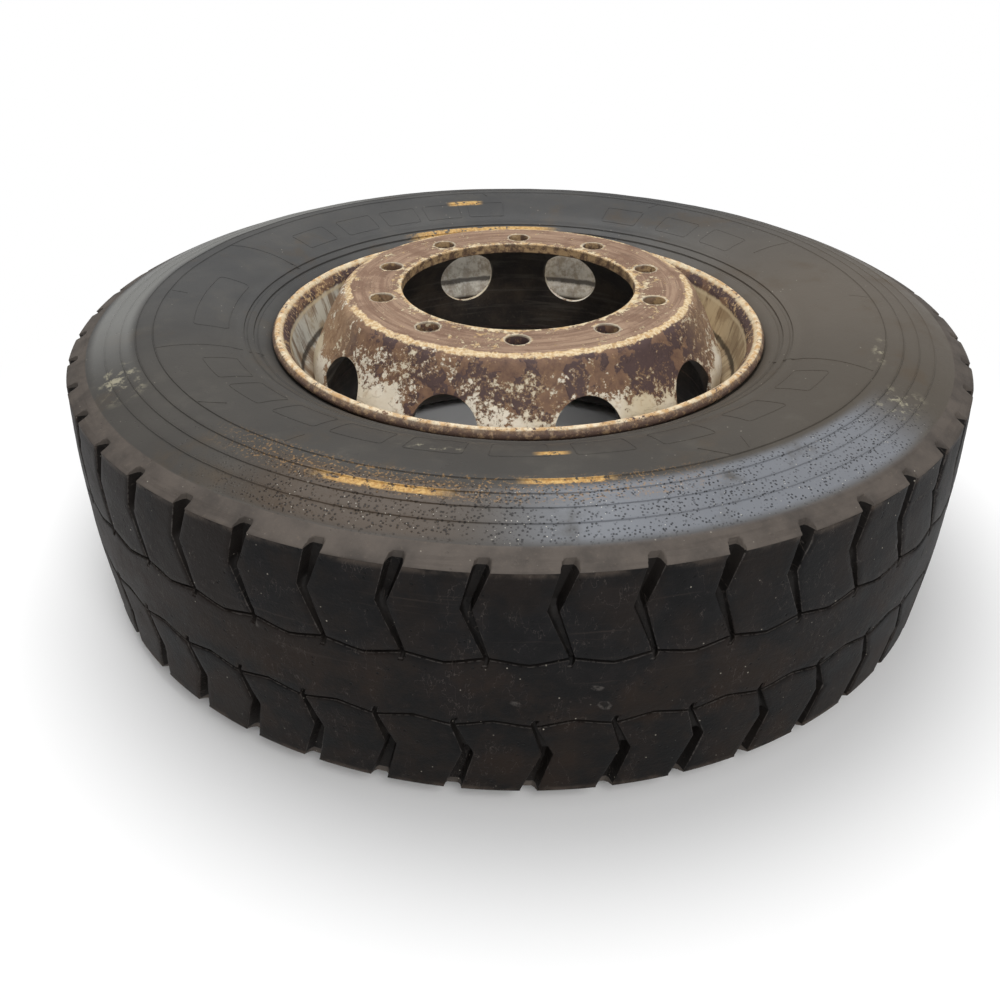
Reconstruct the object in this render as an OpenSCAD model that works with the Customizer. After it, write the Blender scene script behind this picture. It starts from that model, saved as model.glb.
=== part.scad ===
// Worn radial truck tyre on a pressed-steel ten-stud disc wheel, lying flat on
// its side with the dished side of the wheel disc upward. Millimetres, +Z up,
// wheel axis on Z, the tyre resting on the floor plane Z = 0.

/* [Tyre casing] */
// Radius over the worn crown of the tread
crown_r = 530; // [510:1:560]
// Greatest width of the casing across both sidewalls
section_w = 312; // [290:1:340]
// Arc radius of the worn tread across its width
crown_arc = 1450; // [900:10:2400]
// Thickness of the sidewall
wall_t = 15; // [10:0.5:20]
// Thickness of tread and belts left under the crown
tread_t = 26; // [22:0.5:34]
// Sag of the lower sidewall flattened by its own weight
floor_sag = 1; // [0.5:0.1:3]

/* [Tread pattern] */
// Number of lug pitches round the tread
lug_count = 46; // [36:1:56]
// Width of a lug groove where it opens at the shoulder
lug_mouth_w = 20; // [12:0.5:26]
// Width of a lug groove at its bend
lug_bend_w = 11; // [6:0.5:16]
// Width of a lug groove where it joins the rib groove
lug_end_w = 5; // [3:0.5:8]
// Depth of a lug groove at the shoulder, below the crown radius
lug_depth = 18; // [12:0.5:20]
// Depth left in the rib grooves, below the crown radius
rib_depth = 8; // [5:0.5:12]
// Width of a rib groove
rib_groove_w = 4; // [3:0.5:8]
// Distance of a rib groove from the middle plane where a lug groove joins it
rib_pos = 40; // [30:1:50]
// Waviness of a rib groove
rib_wave = 7; // [0:0.5:12]
// Azimuth of one upper lug mouth
lug_phase = -84.1; // [-90:0.1:-80]

/* [Rim] */
// Bead seat radius at the flange
seat_r = 285.75; // [260:0.25:310]
// Width between the flanges
rim_w = 228.6; // [200:0.1:250]
// Thickness of the rolled rim band
rim_t = 6.5; // [5:0.5:8]
// Height of the flange above the bead seat
flange_h = 12.7; // [10:0.1:16]
// Thickness of the curled flange along the axis
flange_curl = 17; // [12:0.5:20]
// Width of each bead seat
seat_w = 39; // [36:1:46]
// Depth of the drop-centre well below the inner edge of the seat
well_drop = 14.5; // [12:0.5:20]

/* [Wheel disc] */
// Distance from the middle plane to the outer face of the disc
outset = 170; // [150:1:180]
// Thickness of the disc at the bolting face
disc_t = 12; // [10:0.5:14]
// Thickness of the disc at its welded skirt
skirt_t = 7; // [6:0.5:9]
// Radius of the centre bore
bore_r = 140.5; // [130:0.5:145]
// Radius of the bolt circle
bolt_circle_r = 167.5; // [160:0.5:172]
// Number of bolt holes and of hand holes
bolt_count = 10; // [6:1:12]
// Radius of a bolt hole
bolt_r = 13; // [10:0.5:15]
// Radius of the flat bolting face
face_r = 198; // [192:1:206]
// Radius of a hand hole
hand_r = 39; // [28:0.5:42]
// Length of the skirt seated in the well
skirt_len = 48; // [30:1:56]
// Leg of the fillet weld under the skirt
weld_leg = 6; // [4:0.5:8]

/* [Valve] */
// Hand hole that the tyre valve reaches through, counted from the first
valve_slot = 3; // [0:1:9]
// Radius of the valve stem
stem_r = 4.2; // [3.5:0.1:5]
// Length of the stem beyond its elbow
stem_len = 34; // [20:1:40]
// Radius of the valve cap
cap_r = 5.6; // [5:0.1:7]
// Across-corners radius of the valve nut
nut_r = 9; // [8:0.5:10]

/* [Fits] */
// Clearance between parts that are seated on one another
seat_gap = 0.1; // [0.05:0.01:0.2]

/* [Hidden] */
$fn = 128;

black_rubber = [0.07, 0.07, 0.07];
rust_brown = [0.36, 0.24, 0.17];
cream_paint = [0.62, 0.55, 0.43];
brass_tone = [0.62, 0.50, 0.27];

half_w = section_w / 2;
mid_z = half_w - floor_sag;
half_rim = rim_w / 2;
seat_taper = 15;
taper = tan(seat_taper);
over = 1;

// Tyre section: the bead leaves the flange at (exit_r, exit_z); the sidewall is
// one arc from there to the widest ring at wide_r and on to the shoulder.
bead_clear = 1.3;
bead_rise = 5;
exit_r = seat_r + flange_h + bead_clear;
exit_z = half_rim + bead_rise;
wide_share = 0.545;
wide_r = seat_r + wide_share * (crown_r - seat_r);
side_rise = half_w - exit_z;
side_r = (pow(wide_r - exit_r, 2) + pow(side_rise, 2)) / (2 * side_rise);
toe_z = half_rim - seat_w + 4;
toe_r = seat_r - (half_rim - toe_z) * taper;
bead_h = 16;

// Lug grooves: the bend lies off the mouth by bend_shift, the end by end_shift.
lug_pitch = 360 / lug_count;
pitch_arc = 2 * crown_r * tan(lug_pitch / 2);
up_bend_z = 90;
up_bend_shift = -22;
up_end_shift = -4.5;
low_bend_z = 76;
low_bend_shift = 25;
low_end_shift = 12;
low_phase = lug_phase + 2.7;
mouth_z = half_w;
wall_step = 1.5;
lap = 0.3;

// Rim section, measured from the middle plane.
lip_z = half_rim + flange_curl;
seat_end_z = half_rim - seat_w;
seat_end_r = seat_r - seat_w * taper;
well_r = seat_end_r - well_drop;
well_top_z = seat_end_z - well_drop - 2;
well_low_z = -seat_end_z + well_drop / taper;
band_dr = rim_t / cos(seat_taper);
well_in_r = well_r - rim_t;

// Wheel disc, measured from the middle plane.
skirt_r = well_in_r - seat_gap;
skirt_top_z = well_top_z - 2;
skirt_low_z = skirt_top_z - skirt_len;
inner_face_r = face_r - 8;
// Flank: rounded shoulder, cone, then a bend into the upright skirt.
cone_slope = 0.57;
shoulder_out = 13;
shoulder_drop = 10;
foot_drop = 62;
foot_end = 95;
bend_steps = 8;
hand_z = outset - 78.5;

// Valve: its hole goes through the sloping wall of the well, behind a hand hole.
hole_step = 360 / bolt_count;
valve_az = -90 + (valve_slot + 0.5) * hole_step;
valve_drop = 1.5;
wall_mid_z = (seat_end_z + well_top_z) / 2 - valve_drop;
wall_mid_r = (seat_end_r + well_r) / 2 - valve_drop * well_drop / (seat_end_z - well_top_z);
wall_tilt = atan2(seat_end_z - well_top_z, well_drop);
hole_r = stem_r + 1.2;
elbow_out = 14;
knuckle = 0.5;
washer_seat = 0.4;
valve_wall = rim_t * sin(wall_tilt) + washer_seat;
washer_t = 1.5;
nut_h = 6;
cap_h = 14;
cap_cover = 11;
reach_through = 60;
seal_t = 3;
seal_seat = 0.25;
head_t = 2.6;

module revolve() translate([0, 0, mid_z]) rotate_extrude() children();

// Casing outline between the two sidewall arcs, inset from the outer surface.
module casing_lens(inset_side, inset_crown) intersection() {
    translate([wide_r, half_w - side_r]) circle(side_r - inset_side);
    translate([wide_r, side_r - half_w]) circle(side_r - inset_side);
    translate([crown_r - crown_arc, 0]) circle(crown_arc - inset_crown, $fn = 720);
}

module bead() polygon([
    [seat_r + seat_gap, half_rim - seat_gap],
    [toe_r + seat_gap, toe_z],
    [toe_r + 4, toe_z - 3],
    [exit_r + bead_h, exit_z - wall_t - 4],
    [exit_r + bead_h, exit_z + 4],
    [exit_r + over, exit_z - over / 2],
    [seat_r + flange_h / 2, half_rim - seat_gap]]);

// Closed band between the two sidewall arcs, open between the beads.
module casing_section() difference() {
    intersection() {
        casing_lens(0, 0);
        translate([exit_r, -mid_z]) square([crown_r, mid_z + section_w]);
    }
    intersection() {
        casing_lens(wall_t, tread_t);
        translate([exit_r - over, -section_w]) square([crown_r, 2 * section_w]);
    }
}

// One prism cut into the tread: x runs round the tread, y across it.
module tread_prism(azimuth, floor_r) rotate([0, 0, azimuth]) translate([floor_r, 0, mid_z])
    rotate([90, 0, 90]) linear_extrude(crown_r - floor_r + 20) children();

module lug_outline(bend_z, bend_shift, end_shift) polygon([
    [-lug_mouth_w / 2, mouth_z],
    [lug_mouth_w / 2, mouth_z],
    [bend_shift + lug_bend_w / 2, bend_z],
    [end_shift + lug_end_w / 2, rib_pos],
    [end_shift - lug_end_w / 2, rib_pos],
    [bend_shift - lug_bend_w / 2, bend_z]]);

// Deep part of a lug groove, stepped in from the walls of the shallow part.
module lug_mouth_outline(bend_z, bend_shift) polygon([
    [-lug_mouth_w / 2 + wall_step, mouth_z + over],
    [lug_mouth_w / 2 - wall_step, mouth_z + over],
    [bend_shift + lug_bend_w / 2 - wall_step, bend_z + wall_step],
    [bend_shift - lug_bend_w / 2 + wall_step, bend_z + wall_step]]);

// One pitch of the wavy rib groove. Its far end is a little wider, so that the
// narrower near end of the next pitch runs inside it.
module rib_outline(end_shift) {
    reach = pitch_arc / 2 + over;
    far = reach - 3;
    low = rib_pos - rib_wave;
    h = rib_groove_w / 2;
    wide = h + lap;
    translate([end_shift, 0]) polygon([
        [-reach, low + h], [-far, low + h], [0, rib_pos + h], [far, low + wide], [reach, low + wide],
        [reach, low - wide], [far, low - wide], [0, rib_pos - h], [-far, low - h], [-reach, low - h]]);
}

module tread_row(phase, bend_z, bend_shift, end_shift, side)
    for (i = [0 : lug_count - 1]) {
        tread_prism(phase + i * lug_pitch, crown_r - rib_depth) mirror([0, side]) union() {
            lug_outline(bend_z, bend_shift, end_shift);
            rib_outline(end_shift);
        }
        tread_prism(phase + i * lug_pitch, crown_r - lug_depth) mirror([0, side])
            lug_mouth_outline(bend_z, bend_shift);
    }

module tyre() color(black_rubber) difference() {
    union() {
        revolve() casing_section();
        revolve() bead();
        revolve() mirror([0, 1]) bead();
    }
    tread_row(lug_phase, up_bend_z, up_bend_shift, up_end_shift, 0);
    tread_row(low_phase, low_bend_z, low_bend_shift, low_end_shift, 1);
}

// Flange and seat, outer surface first, from the inner edge of the seat out to
// the lip, then the hub side back to the seat.
function seat_outer() = [
    [seat_end_r, seat_end_z],
    [seat_r, half_rim],
    [seat_r + flange_h / 2, half_rim],
    [seat_r + flange_h, half_rim + flange_curl * 0.42],
    [seat_r + flange_h, half_rim + flange_curl * 0.62],
    [seat_r + flange_h - 3, lip_z - 2],
    [seat_r + flange_h * 0.45, lip_z]];

function seat_inner() = [
    [seat_r + 1, lip_z - 2.5],
    [seat_r - rim_t + 1, half_rim + 5],
    [seat_r - band_dr, half_rim],
    [seat_end_r - band_dr, seat_end_z]];

function below(points) = [for (i = [len(points) - 1 : -1 : 0]) [points[i][0], -points[i][1]]];

module rim_section() polygon(concat(
    seat_outer(), seat_inner(),
    [[well_in_r, well_top_z], [well_in_r, well_low_z - 2]],
    below(seat_inner()), below(seat_outer()),
    [[well_r, well_low_z], [well_r, well_top_z]]));

// Places children in the frame of the valve hole, +Z out of the hole towards
// the hub side of the rim.
module at_valve_hole() rotate([0, 0, valve_az]) translate([wall_mid_r, 0, mid_z + wall_mid_z])
    rotate([0, -wall_tilt, 0]) children();

module rim() color(cream_paint) difference() {
    revolve() rim_section();
    at_valve_hole() cylinder(r = hole_r, h = reach_through / 2, center = true);
}

// Curve from a to c that leaves a towards b and reaches c from b.
function bend(a, b, c) = [for (t = [0 : 1 / bend_steps : 1])
    (1 - t) * (1 - t) * a + 2 * t * (1 - t) * b + t * t * c];

// One side of the disc from the flat face down the flank to the skirt.
function flank(face, top, skirt, drop) = concat(
    bend([face, top], [face + shoulder_out, top],
        [face + shoulder_out + shoulder_drop * cone_slope, top - shoulder_drop]),
    bend([skirt - (drop - foot_drop) * cone_slope, outset - foot_drop], [skirt, outset - drop],
        [skirt, outset - foot_end]));

// Drop below the outer face at which the cone of one side reaches the skirt.
function cone_drop(face, top, skirt) = outset - top + (skirt - face - shoulder_out) / cone_slope;

module disc_section() {
    outer = flank(face_r, outset, skirt_r, cone_drop(face_r, outset, skirt_r));
    inner_top = outset - disc_t;
    inner_skirt = skirt_r - skirt_t;
    inner = flank(inner_face_r, inner_top, inner_skirt, cone_drop(inner_face_r, inner_top, inner_skirt));
    polygon(concat(
        outer, [[skirt_r, skirt_low_z], [inner_skirt, skirt_low_z]],
        [for (i = [len(inner) - 1 : -1 : 0]) inner[i]],
        [[bore_r, inner_top], [bore_r, outset]]));
}

module disc() color(rust_brown) difference() {
    revolve() disc_section();
    for (i = [0 : bolt_count - 1]) rotate([0, 0, -90 + i * hole_step]) {
        translate([bolt_circle_r, 0, mid_z + outset - disc_t - over])
            cylinder(r = bolt_r, h = disc_t + 2 * over);
        rotate([0, 0, hole_step / 2]) translate([bore_r, 0, mid_z + hand_z])
            rotate([0, 90, 0]) cylinder(r = hand_r, h = skirt_r);
    }
}

module weld() color(rust_brown) revolve() polygon([
    [well_in_r - seat_gap, skirt_low_z - seat_gap],
    [well_in_r - seat_gap, skirt_low_z - seat_gap - weld_leg],
    [well_in_r - seat_gap - weld_leg * 0.55, skirt_low_z - seat_gap - weld_leg * 0.72],
    [well_in_r - seat_gap - weld_leg, skirt_low_z - seat_gap]]);

module valve_stem() color(brass_tone) {
    at_valve_hole() {
        translate([0, 0, -seal_t - 2 * seal_seat - head_t]) cylinder(r = stem_r + 2.2, h = head_t);
        translate([0, 0, -seal_t - head_t]) cylinder(r = stem_r, h = seal_t + head_t + valve_wall + elbow_out);
        translate([0, 0, valve_wall + elbow_out]) sphere(r = stem_r + knuckle);
        translate([0, 0, valve_wall + elbow_out]) rotate([0, wall_tilt, 0]) cylinder(r = stem_r, h = stem_len);
    }
}

module valve_seal() color(black_rubber) at_valve_hole() difference() {
    union() {
        translate([0, 0, -seal_t - seal_seat]) cylinder(r = hole_r + 3, h = seal_t);
        translate([0, 0, -1]) cylinder(r = hole_r - seat_gap, h = valve_wall + 0.6);
    }
    cylinder(r = stem_r + seat_gap, h = reach_through, center = true);
}

module valve_washer() color(rust_brown) at_valve_hole() difference() {
    translate([0, 0, valve_wall]) cylinder(r = nut_r - 0.5, h = washer_t);
    cylinder(r = stem_r + seat_gap, h = reach_through, center = true);
}

module valve_nut() color(brass_tone) at_valve_hole() difference() {
    translate([0, 0, valve_wall + washer_t + seat_gap]) cylinder(r = nut_r, h = nut_h, $fn = 6);
    cylinder(r = stem_r + seat_gap, h = reach_through, center = true);
}

module valve_cap() color(black_rubber) at_valve_hole() translate([0, 0, valve_wall + elbow_out])
    rotate([0, wall_tilt, 0]) difference() {
        translate([0, 0, stem_len - cap_cover]) cylinder(r = cap_r, h = cap_h);
        translate([0, 0, stem_len - cap_cover - over])
            cylinder(r = stem_r + seat_gap, h = cap_cover + over + seat_gap);
    }

tyre();
rim();
disc();
weld();
valve_stem();
valve_seal();
valve_washer();
valve_nut();
valve_cap();
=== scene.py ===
"""Looks of a worn truck tyre on a rusty steel disc wheel, lying on its side.

Lengths in the mesh code are millimetres and are scaled once, in finish_mesh().
"""
import math
from functools import reduce

import bmesh
import bpy
import numpy as np
from mathutils import Matrix, Vector
from mathutils.geometry import delaunay_2d_cdt


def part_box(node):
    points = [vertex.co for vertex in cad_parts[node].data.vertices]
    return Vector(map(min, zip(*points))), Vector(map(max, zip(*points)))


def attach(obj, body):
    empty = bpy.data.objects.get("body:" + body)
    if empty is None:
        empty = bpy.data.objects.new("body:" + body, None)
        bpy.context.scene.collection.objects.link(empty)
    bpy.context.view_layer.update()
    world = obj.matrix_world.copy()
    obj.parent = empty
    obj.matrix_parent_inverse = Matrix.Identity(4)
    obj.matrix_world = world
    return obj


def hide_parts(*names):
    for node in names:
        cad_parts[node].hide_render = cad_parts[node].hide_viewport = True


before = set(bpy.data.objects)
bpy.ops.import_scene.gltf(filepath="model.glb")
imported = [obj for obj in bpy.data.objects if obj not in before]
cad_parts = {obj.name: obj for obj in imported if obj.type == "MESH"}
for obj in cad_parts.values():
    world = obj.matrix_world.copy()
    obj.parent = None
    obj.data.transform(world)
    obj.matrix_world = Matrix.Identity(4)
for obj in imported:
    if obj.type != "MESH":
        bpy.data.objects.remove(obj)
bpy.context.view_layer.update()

MM = 0.001
TAU = 2 * math.pi

# ---- frame sizes
tyre_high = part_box("tyre")[1]
disc_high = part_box("disc")[1]
CROWN_R = tyre_high.x / MM
FLOOR_SAG = 1.0  # how much of the lower sidewall the floor flattens
HALF_W = (tyre_high.z / MM + FLOOR_SAG) / 2
MID = HALF_W - FLOOR_SAG  # height of the wheel's middle plane
CROWN_ARC = 1450.0  # radius of the tread's curve across its width
SEAT_R = 285.75  # bead seat of a 22.5 inch rim
EXIT_R, EXIT_Z = 299.75, 119.3  # where the sidewall comes off the flange
WIDE_R = SEAT_R + 0.545 * (CROWN_R - SEAT_R)  # radius of the widest section
SIDE_RISE = HALF_W - EXIT_Z
SIDE_R = ((WIDE_R - EXIT_R) ** 2 + SIDE_RISE ** 2) / (2 * SIDE_RISE)
SIDE_C = HALF_W - SIDE_R
FACE_Z = disc_high.z / MM


def side_z(r, inset=0.0):
    """Distance of the bare sidewall from the middle plane at radius r."""
    return SIDE_C + np.sqrt((SIDE_R - inset) ** 2 - (r - WIDE_R) ** 2)


def crown(z, inset=0.0):
    """Radius of the unworn tread at a distance z from the middle plane."""
    return CROWN_R - CROWN_ARC + np.sqrt((CROWN_ARC - inset) ** 2 - z * z)


# ---- mesh helpers
def waves(scale, seed, count=28):
    """A smooth seeded noise over points in mm, about -1..1, with features of about `scale` mm."""
    g = np.random.default_rng(seed)
    d = g.normal(size=(count, 3))
    d /= np.linalg.norm(d, axis=1)[:, None]
    k = d * (TAU / (scale * g.uniform(0.7, 2.2, (count, 1))))
    ph = g.uniform(0, TAU, count)

    def at(p):
        return np.sin(p @ k.T + ph).sum(1) / math.sqrt(count) * 0.75
    return at


class Skin:
    """Vertices and faces of one piece, gathered ring by ring."""

    def __init__(self):
        self.parts, self.faces, self.count = [], [], 0

    def add(self, pts):
        pts = np.asarray(pts, float)
        self.parts.append(pts)
        first = self.count
        self.count += len(pts)
        return np.arange(first, self.count)

    def bridge(self, a, b):
        a2, b2 = np.roll(a, -1), np.roll(b, -1)
        self.faces += np.column_stack([a, a2, b2, b]).tolist()

    def chain(self, rings):
        for a, b in zip(rings, rings[1:]):
            self.bridge(a, b)

    def stitch(self, a, b, ta, tb):
        """Joins two closed rings of different counts, whose azimuths are ta and tb, both increasing."""
        d = (tb - ta[0] + math.pi) % TAU - math.pi
        k = int(np.argmin(np.abs(d)))
        b = np.roll(b, -k)
        tb = np.roll(tb, -k)
        turn_a = np.append((ta - ta[0]) % TAU, TAU)
        turn_b = np.append((tb - tb[0]) % TAU, TAU) + d[k]
        na, nb, i, j = len(a), len(b), 0, 0
        while i < na or j < nb:
            if j >= nb or (i < na and turn_a[i + 1] <= turn_b[j + 1]):
                self.faces.append([int(a[i]), int(a[(i + 1) % na]), int(b[j % nb])])
                i += 1
            else:
                self.faces.append([int(a[i % na]), int(b[(j + 1) % nb]), int(b[j])])
                j += 1

    def points(self):
        return np.vstack(self.parts)


def finish_mesh(name, pts, faces, mat, replaced=(), sharp=38):
    """One closed piece from points in mm, with its normals turned outward."""
    me = bpy.data.meshes.new(name)
    me.from_pydata((np.asarray(pts) * MM).tolist(), [], faces)
    bm = bmesh.new()
    bm.from_mesh(me)
    bmesh.ops.recalc_face_normals(bm, faces=bm.faces)
    bm.to_mesh(me)
    bm.free()
    me.polygons.foreach_set("use_smooth", [True] * len(me.polygons))
    me.set_sharp_from_angle(angle=math.radians(sharp))
    ob = bpy.data.objects.new(name, me)
    bpy.context.scene.collection.objects.link(ob)
    me.materials.append(mat)
    if replaced:
        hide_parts(*replaced)
    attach(ob, "root")
    return ob


def circle(n):
    return np.linspace(0, TAU, n, endpoint=False)


def ring_xyz(r, az, z):
    return np.column_stack([r * np.cos(az), r * np.sin(az), z + np.zeros_like(az)])


def rounded(poly, radii, steps=4):
    """A closed polygon with each corner turned into an arc-like curve of its own size."""
    poly = np.asarray(poly, float)
    out = []
    n = len(poly)
    for i in range(n):
        p, a, b = poly[i], poly[i - 1], poly[(i + 1) % n]
        r = radii[i]
        if r <= 0:
            out.append(p)
            continue
        la, lb = np.linalg.norm(a - p), np.linalg.norm(b - p)
        pa = p + (a - p) / la * min(r, la * 0.48)
        pb = p + (b - p) / lb * min(r, lb * 0.48)
        for t in np.linspace(0, 1, steps + 1):
            out.append((1 - t) ** 2 * pa + 2 * t * (1 - t) * p + t * t * pb)
    return np.array(out)


def densify(poly, longest):
    """The closed polygon with every side cut into pieces no longer than `longest`."""
    out = []
    n = len(poly)
    for i in range(n):
        p, q = poly[i], poly[(i + 1) % n]
        k = max(1, int(math.ceil(np.linalg.norm(q - p) / longest)))
        for j in range(k):
            out.append(p + (q - p) * j / k)
    return np.array(out)


# ---- node helpers
def lin(r, g, b):
    """An sRGB colour, 0-255, as the linear value that Blender takes."""
    def one(c):
        c /= 255
        return c / 12.92 if c <= 0.04045 else ((c + 0.055) / 1.055) ** 2.4
    return (one(r), one(g), one(b), 1.0)


class Mat:
    """Builds a node material. Values may be sockets, numbers or, as (r, g, b), sRGB colours."""

    def __init__(self, name):
        self.m = bpy.data.materials.new(name)
        self.m.use_nodes = True
        self.t = self.m.node_tree
        self.t.nodes.clear()
        self.out = self.t.nodes.new("ShaderNodeOutputMaterial")
        self.shader = self.t.nodes.new("ShaderNodeBsdfPrincipled")
        self.t.links.new(self.shader.outputs[0], self.out.inputs[0])
        self.P = self.t.nodes.new("ShaderNodeTexCoord").outputs["Object"]
        s = self.t.nodes.new("ShaderNodeSeparateXYZ")
        self.t.links.new(self.P, s.inputs[0])
        self.x, self.y, self.z = s.outputs
        self.R = self.length(self.x, self.y)
        self.az = self.f("ARCTAN2", self.y, self.x)
        self.cx = self.f("DIVIDE", self.x, self.top(self.R, MM))
        self.cy = self.f("DIVIDE", self.y, self.top(self.R, MM))

    def put(self, sock, v):
        if isinstance(v, bpy.types.NodeSocket):
            self.t.links.new(v, sock)
        else:
            sock.default_value = lin(*v) if isinstance(v, tuple) else v

    def f(self, op, *vals):
        n = self.t.nodes.new("ShaderNodeMath")
        n.operation = op
        for i, v in enumerate(vals):
            self.put(n.inputs[i], v)
        return n.outputs[0]

    def add(self, *vals): return reduce(lambda a, b: self.f("ADD", a, b), vals)
    def mul(self, *vals): return reduce(lambda a, b: self.f("MULTIPLY", a, b), vals)
    def top(self, *vals): return reduce(lambda a, b: self.f("MAXIMUM", a, b), vals)
    def sub(self, a, b): return self.f("SUBTRACT", a, b)
    def inv(self, a): return self.sub(1.0, a)
    def length(self, a, b): return self.f("SQRT", self.add(self.mul(a, a), self.mul(b, b)))

    def step(self, v, a, b):
        """0 below a, 1 above b, smooth between. a may be larger than b."""
        n = self.t.nodes.new("ShaderNodeMapRange")
        n.interpolation_type = "SMOOTHSTEP"
        flip = a > b
        self.put(n.inputs["Value"], v)
        n.inputs["From Min"].default_value = b if flip else a
        n.inputs["From Max"].default_value = a if flip else b
        n.inputs["To Min"].default_value = 1.0 if flip else 0.0
        n.inputs["To Max"].default_value = 0.0 if flip else 1.0
        return n.outputs[0]

    def band(self, v, a, b, soft):
        """1 between a and b, fading over soft at both ends."""
        return self.mul(self.step(v, a - soft, a + soft), self.step(v, b + soft, b - soft))

    def azband(self, a, b, soft=1.5):
        """1 between two azimuths in degrees, the short way round from a to b."""
        mid = math.radians((a + b) / 2)
        half = math.radians(abs(b - a) / 2)
        soft = math.radians(soft)
        away = self.f("ABSOLUTE", self.f("WRAP", self.sub(self.az, mid), math.pi, -math.pi))
        return self.step(away, half + soft, half - soft)

    def patch(self, a, b, soft, r0, r1, fade):
        """1 between two azimuths in degrees and two radii in m."""
        return self.mul(self.azband(a, b, soft), self.band(self.R, r0, r1, fade))

    def mix(self, fac, a, b):
        n = self.t.nodes.new("ShaderNodeMix")
        n.data_type = "RGBA"
        self.put(n.inputs[0], fac)
        self.put(n.inputs[6], a)
        self.put(n.inputs[7], b)
        return n.outputs[2]

    def over(self, base, *coats):
        """base under coats: each is a mask, the share of colour where it is 1, and the colour."""
        for mask, share, colour in coats:
            base = self.mix(self.mul(mask, share), base, colour)
        return base

    def mixf(self, fac, a, b):
        n = self.t.nodes.new("ShaderNodeMix")
        n.data_type = "FLOAT"
        self.put(n.inputs[0], fac)
        self.put(n.inputs[2], a)
        self.put(n.inputs[3], b)
        return n.outputs[0]

    def vec(self, x, y, z):
        n = self.t.nodes.new("ShaderNodeCombineXYZ")
        for i, v in enumerate((x, y, z)):
            self.put(n.inputs[i], v)
        return n.outputs[0]

    def noise(self, scale, detail=5.0, rough=0.6, vec=None, warp=0.0, seed=0.0):
        n = self.t.nodes.new("ShaderNodeTexNoise")
        n.noise_dimensions = "4D"
        self.put(n.inputs["Vector"], vec or self.P)
        n.inputs["W"].default_value = seed
        n.inputs["Scale"].default_value = scale
        n.inputs["Detail"].default_value = detail
        n.inputs["Roughness"].default_value = rough
        n.inputs["Distortion"].default_value = warp
        return n.outputs["Fac"]

    def around(self, turns, level, detail, rough, seed):
        v = self.vec(self.mul(self.cx, turns), self.mul(self.cy, turns), level)
        return self.noise(1.0, detail, rough, vec=v, seed=seed)

    def drawn(self, along, across, detail=5.0, rough=0.65, seed=0.0):
        """Noise in arcs round the axis, `along` m long at a radius of 0.2 m and `across` m wide."""
        level = self.mul(self.add(self.R, self.z), 1 / across)
        return self.around(0.2 / along, level, detail, rough, seed)

    def streaks(self, wide, tall, detail=5.0, rough=0.65, seed=0.0):
        """Noise drawn out along the axis, `wide` m at a radius of 0.27 m and `tall` m high."""
        return self.around(0.27 / wide, self.mul(self.z, 1 / tall), detail, rough, seed)

    def facing(self):
        """Above 0 on surfaces that look up or away from the axis, below 0 on the hub side."""
        g = self.t.nodes.new("ShaderNodeNewGeometry")
        n = self.t.nodes.new("ShaderNodeSeparateXYZ")
        self.t.links.new(g.outputs["Normal"], n.inputs[0])
        nx, ny, nz = n.outputs
        return self.add(self.mul(nx, self.cx), self.mul(ny, self.cy), nz)

    def cells(self, scale):
        n = self.t.nodes.new("ShaderNodeTexVoronoi")
        self.put(n.inputs["Vector"], self.P)
        n.inputs["Scale"].default_value = scale
        return n.outputs["Distance"]

    def bump(self, height, distance, strength):
        n = self.t.nodes.new("ShaderNodeBump")
        n.inputs["Strength"].default_value = strength
        n.inputs["Distance"].default_value = distance
        self.put(n.inputs["Height"], height)
        return n.outputs[0]

    def end(self, colour, rough, normal, metal=0.0, specular=0.5):
        i = self.shader.inputs
        self.put(i["Base Color"], colour)
        self.put(i["Roughness"], rough)
        self.put(i["Metallic"], metal)
        self.put(i["Normal"], normal)
        i["Specular IOR Level"].default_value = specular
        return self.m


# ---- rubber
# marks on the upper sidewall: azimuths in degrees with their softness, radii in m with theirs
SMEARS = [(-112, -98, 2.5, 0.4462, 0.4545, 0.0014), (-89, -79, 1.5, 0.4272, 0.4340, 0.0012),
          (-87, -83, 1, 0.373, 0.382, 0.001), (82, 118, 4, 0.3130, 0.3270, 0.001),
          (99, 106, 1, 0.380, 0.392, 0.003)]
PALE_SPOTS = [(-154, -146, 2, 0.455, 0.492, 0.008), (-38, -32, 2, 0.448, 0.482, 0.008),
              (-26, -18, 3, 0.418, 0.430, 0.006), (-106, -98, 1.5, 0.368, 0.380, 0.003)]


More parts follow.
